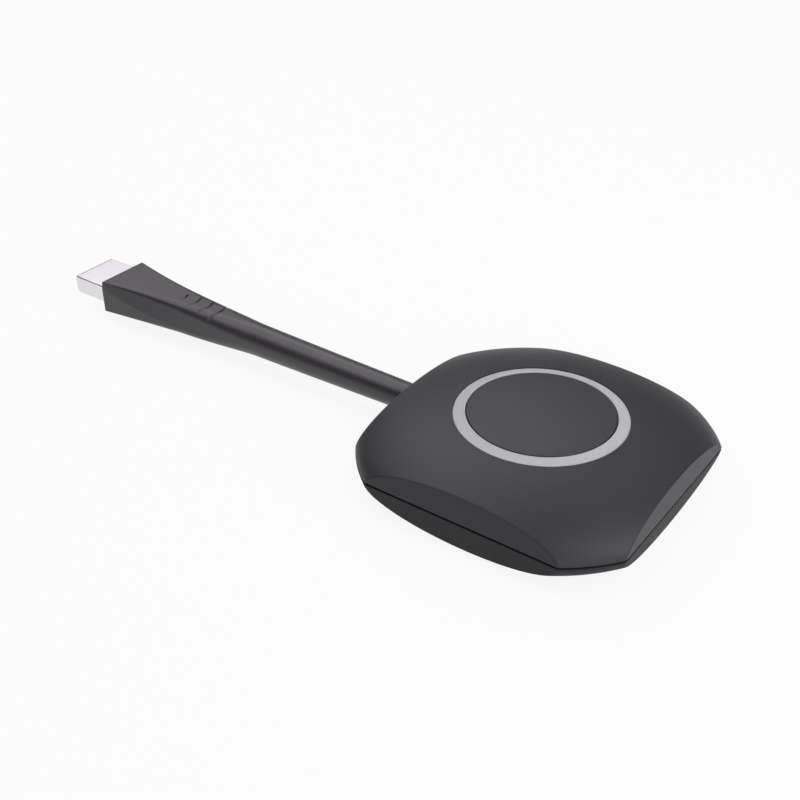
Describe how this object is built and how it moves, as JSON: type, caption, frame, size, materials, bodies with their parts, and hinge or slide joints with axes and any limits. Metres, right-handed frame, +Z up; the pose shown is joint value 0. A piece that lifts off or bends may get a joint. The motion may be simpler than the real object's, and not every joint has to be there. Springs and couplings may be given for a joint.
{
  "type": "wireless presentation dongle",
  "caption": "Domed square puck with a large round push button in a light ring, on a stiff moulded tail that ends in a USB-A plug.",
  "frame": {"origin": "on the button's axis, at the underside of the rubber foot", "axes": "+Y along the tail towards the USB plug, +Z up through the button, +X to the right seen from behind the body"},
  "size_m": [0.06, 0.1588, 0.0161],
  "materials": {
    "shell": "satin charcoal plastic, fine moulded texture",
    "button": "satin charcoal plastic",
    "diffuser": "pale grey translucent diffuser",
    "white_plastic": "white moulded plastic",
    "screw_steel": "zinc plated steel",
    "foot_rubber": "matte black rubber",
    "board": "green solder mask",
    "chip": "black moulded epoxy",
    "tin": "tinned sheet metal",
    "ceramic": "fired ceramic",
    "thermal_pad": "soft filled silicone",
    "spreader": "plain aluminium plate",
    "contact_gold": "gold plated copper alloy",
    "wire_red": "red insulation",
    "wire_white": "white insulation",
    "wire_green": "green insulation",
    "wire_black": "black insulation",
    "cable": "dark cable jacket",
    "tail": "satin charcoal moulded elastomer",
    "plug_metal": "bright nickel plate",
    "tongue": "black moulded plastic"
  },
  "bodies": {
    "housing": {"top_cover": "shell", "bottom_cover": "shell", "light_ring": "diffuser", "guide_frame": "white_plastic", "frame_screws": "screw_steel", "housing_screws": "screw_steel", "foot_pad": "foot_rubber", "circuit_board": "board", "status_leds": "white_plastic", "switch_base": "chip", "system_chip": "chip", "memory_chip": "chip", "flash_chip": "chip", "crystal": "tin", "capacitors": "ceramic", "power_inductors": "chip", "chip_shield": "tin", "chip_pad": "thermal_pad", "thermal_pad": "thermal_pad", "heat_spreader": "spreader", "radio_module": "board", "radio_shield": "tin", "antenna_left": "contact_gold", "antenna_right": "contact_gold", "wire_socket": "white_plastic", "wire_plug": "white_plastic", "wire_red": "wire_red", "wire_white": "wire_white", "wire_green": "wire_green", "wire_black": "wire_black", "cable_core": "cable", "tail_sleeve": "tail", "plug_core": "white_plastic", "usb_shell": "plug_metal", "usb_tongue": "tongue", "usb_contacts": "contact_gold"},
    "button": {"button_cap": "button"},
    "switch": {"switch_stem": "white_plastic"}
  },
  "joints": [
    {"name": "button_press", "type": "slide", "parent": "housing", "child": "button", "axis": [0, 0, -1], "range_m": [0, 0.00035], "stiffness_N_per_m": 1000},
    {"name": "stem_press", "type": "slide", "parent": "housing", "child": "switch", "axis": [0, 0, -1], "range_m": [0, 0.00035]}
  ],
  "couplings": [
    {"joint": "stem_press", "follows": "button_press", "ratio": 1}
  ]
}
